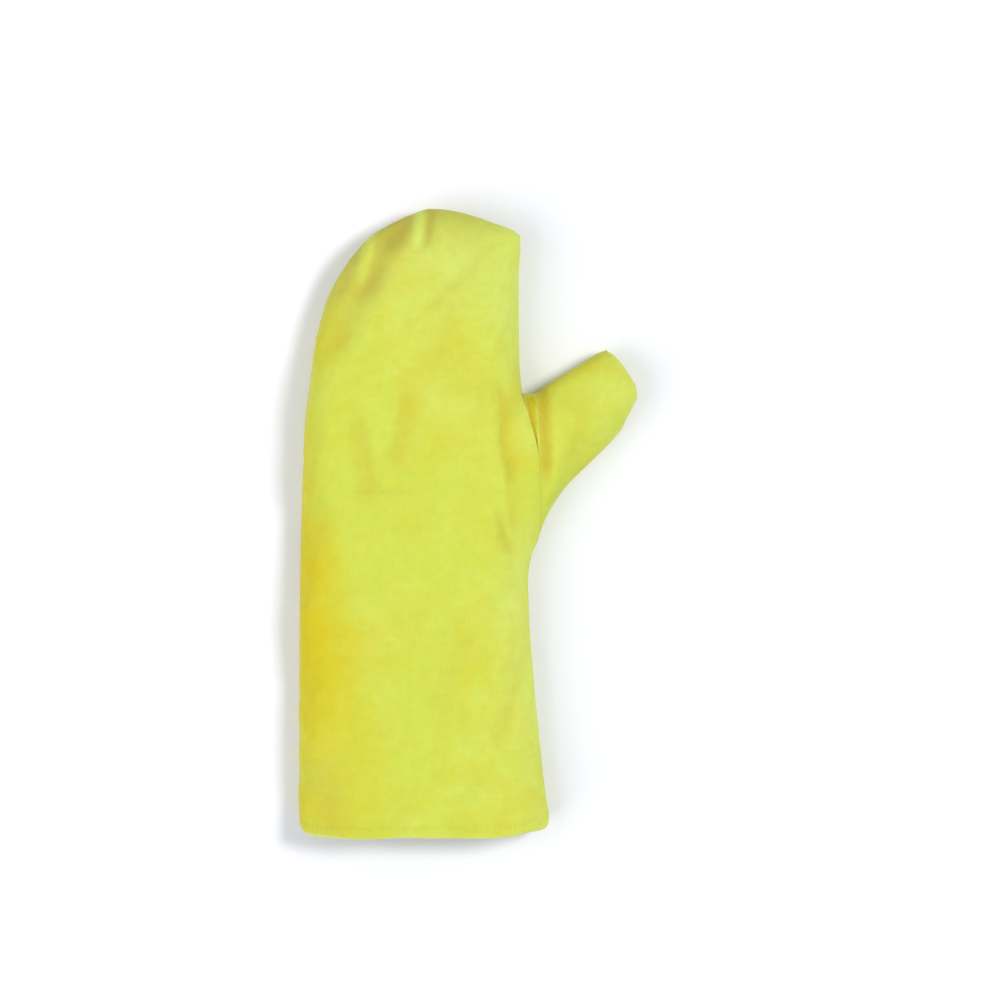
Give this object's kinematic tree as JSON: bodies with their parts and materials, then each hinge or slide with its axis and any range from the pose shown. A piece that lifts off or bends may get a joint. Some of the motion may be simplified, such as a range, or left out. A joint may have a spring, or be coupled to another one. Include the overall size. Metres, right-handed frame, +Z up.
{
  "type": "heat-resistant mitten",
  "caption": "Left-hand mitten of thick woven yellow-green aramid cloth with a long straight cuff, lying empty on its palm with its mouth open.",
  "frame": {"origin": "on the surface that the mitten lies on, under the middle of its outline seen from above", "axes": "+Y from the mouth to the fingertips, +X towards the thumb, +Z up from the palm to the back of the hand"},
  "size_m": [0.2155, 0.399, 0.043],
  "materials": {
    "aramid_cloth": "matt plain weave",
    "aramid_hem": "matt plain weave, turned and stitched"
  },
  "bodies": {
    "root": {"back_panel": "aramid_cloth", "palm_panel": "aramid_cloth", "thumb": "aramid_cloth", "cuff_hem": "aramid_hem"}
  },
  "joints": []
}
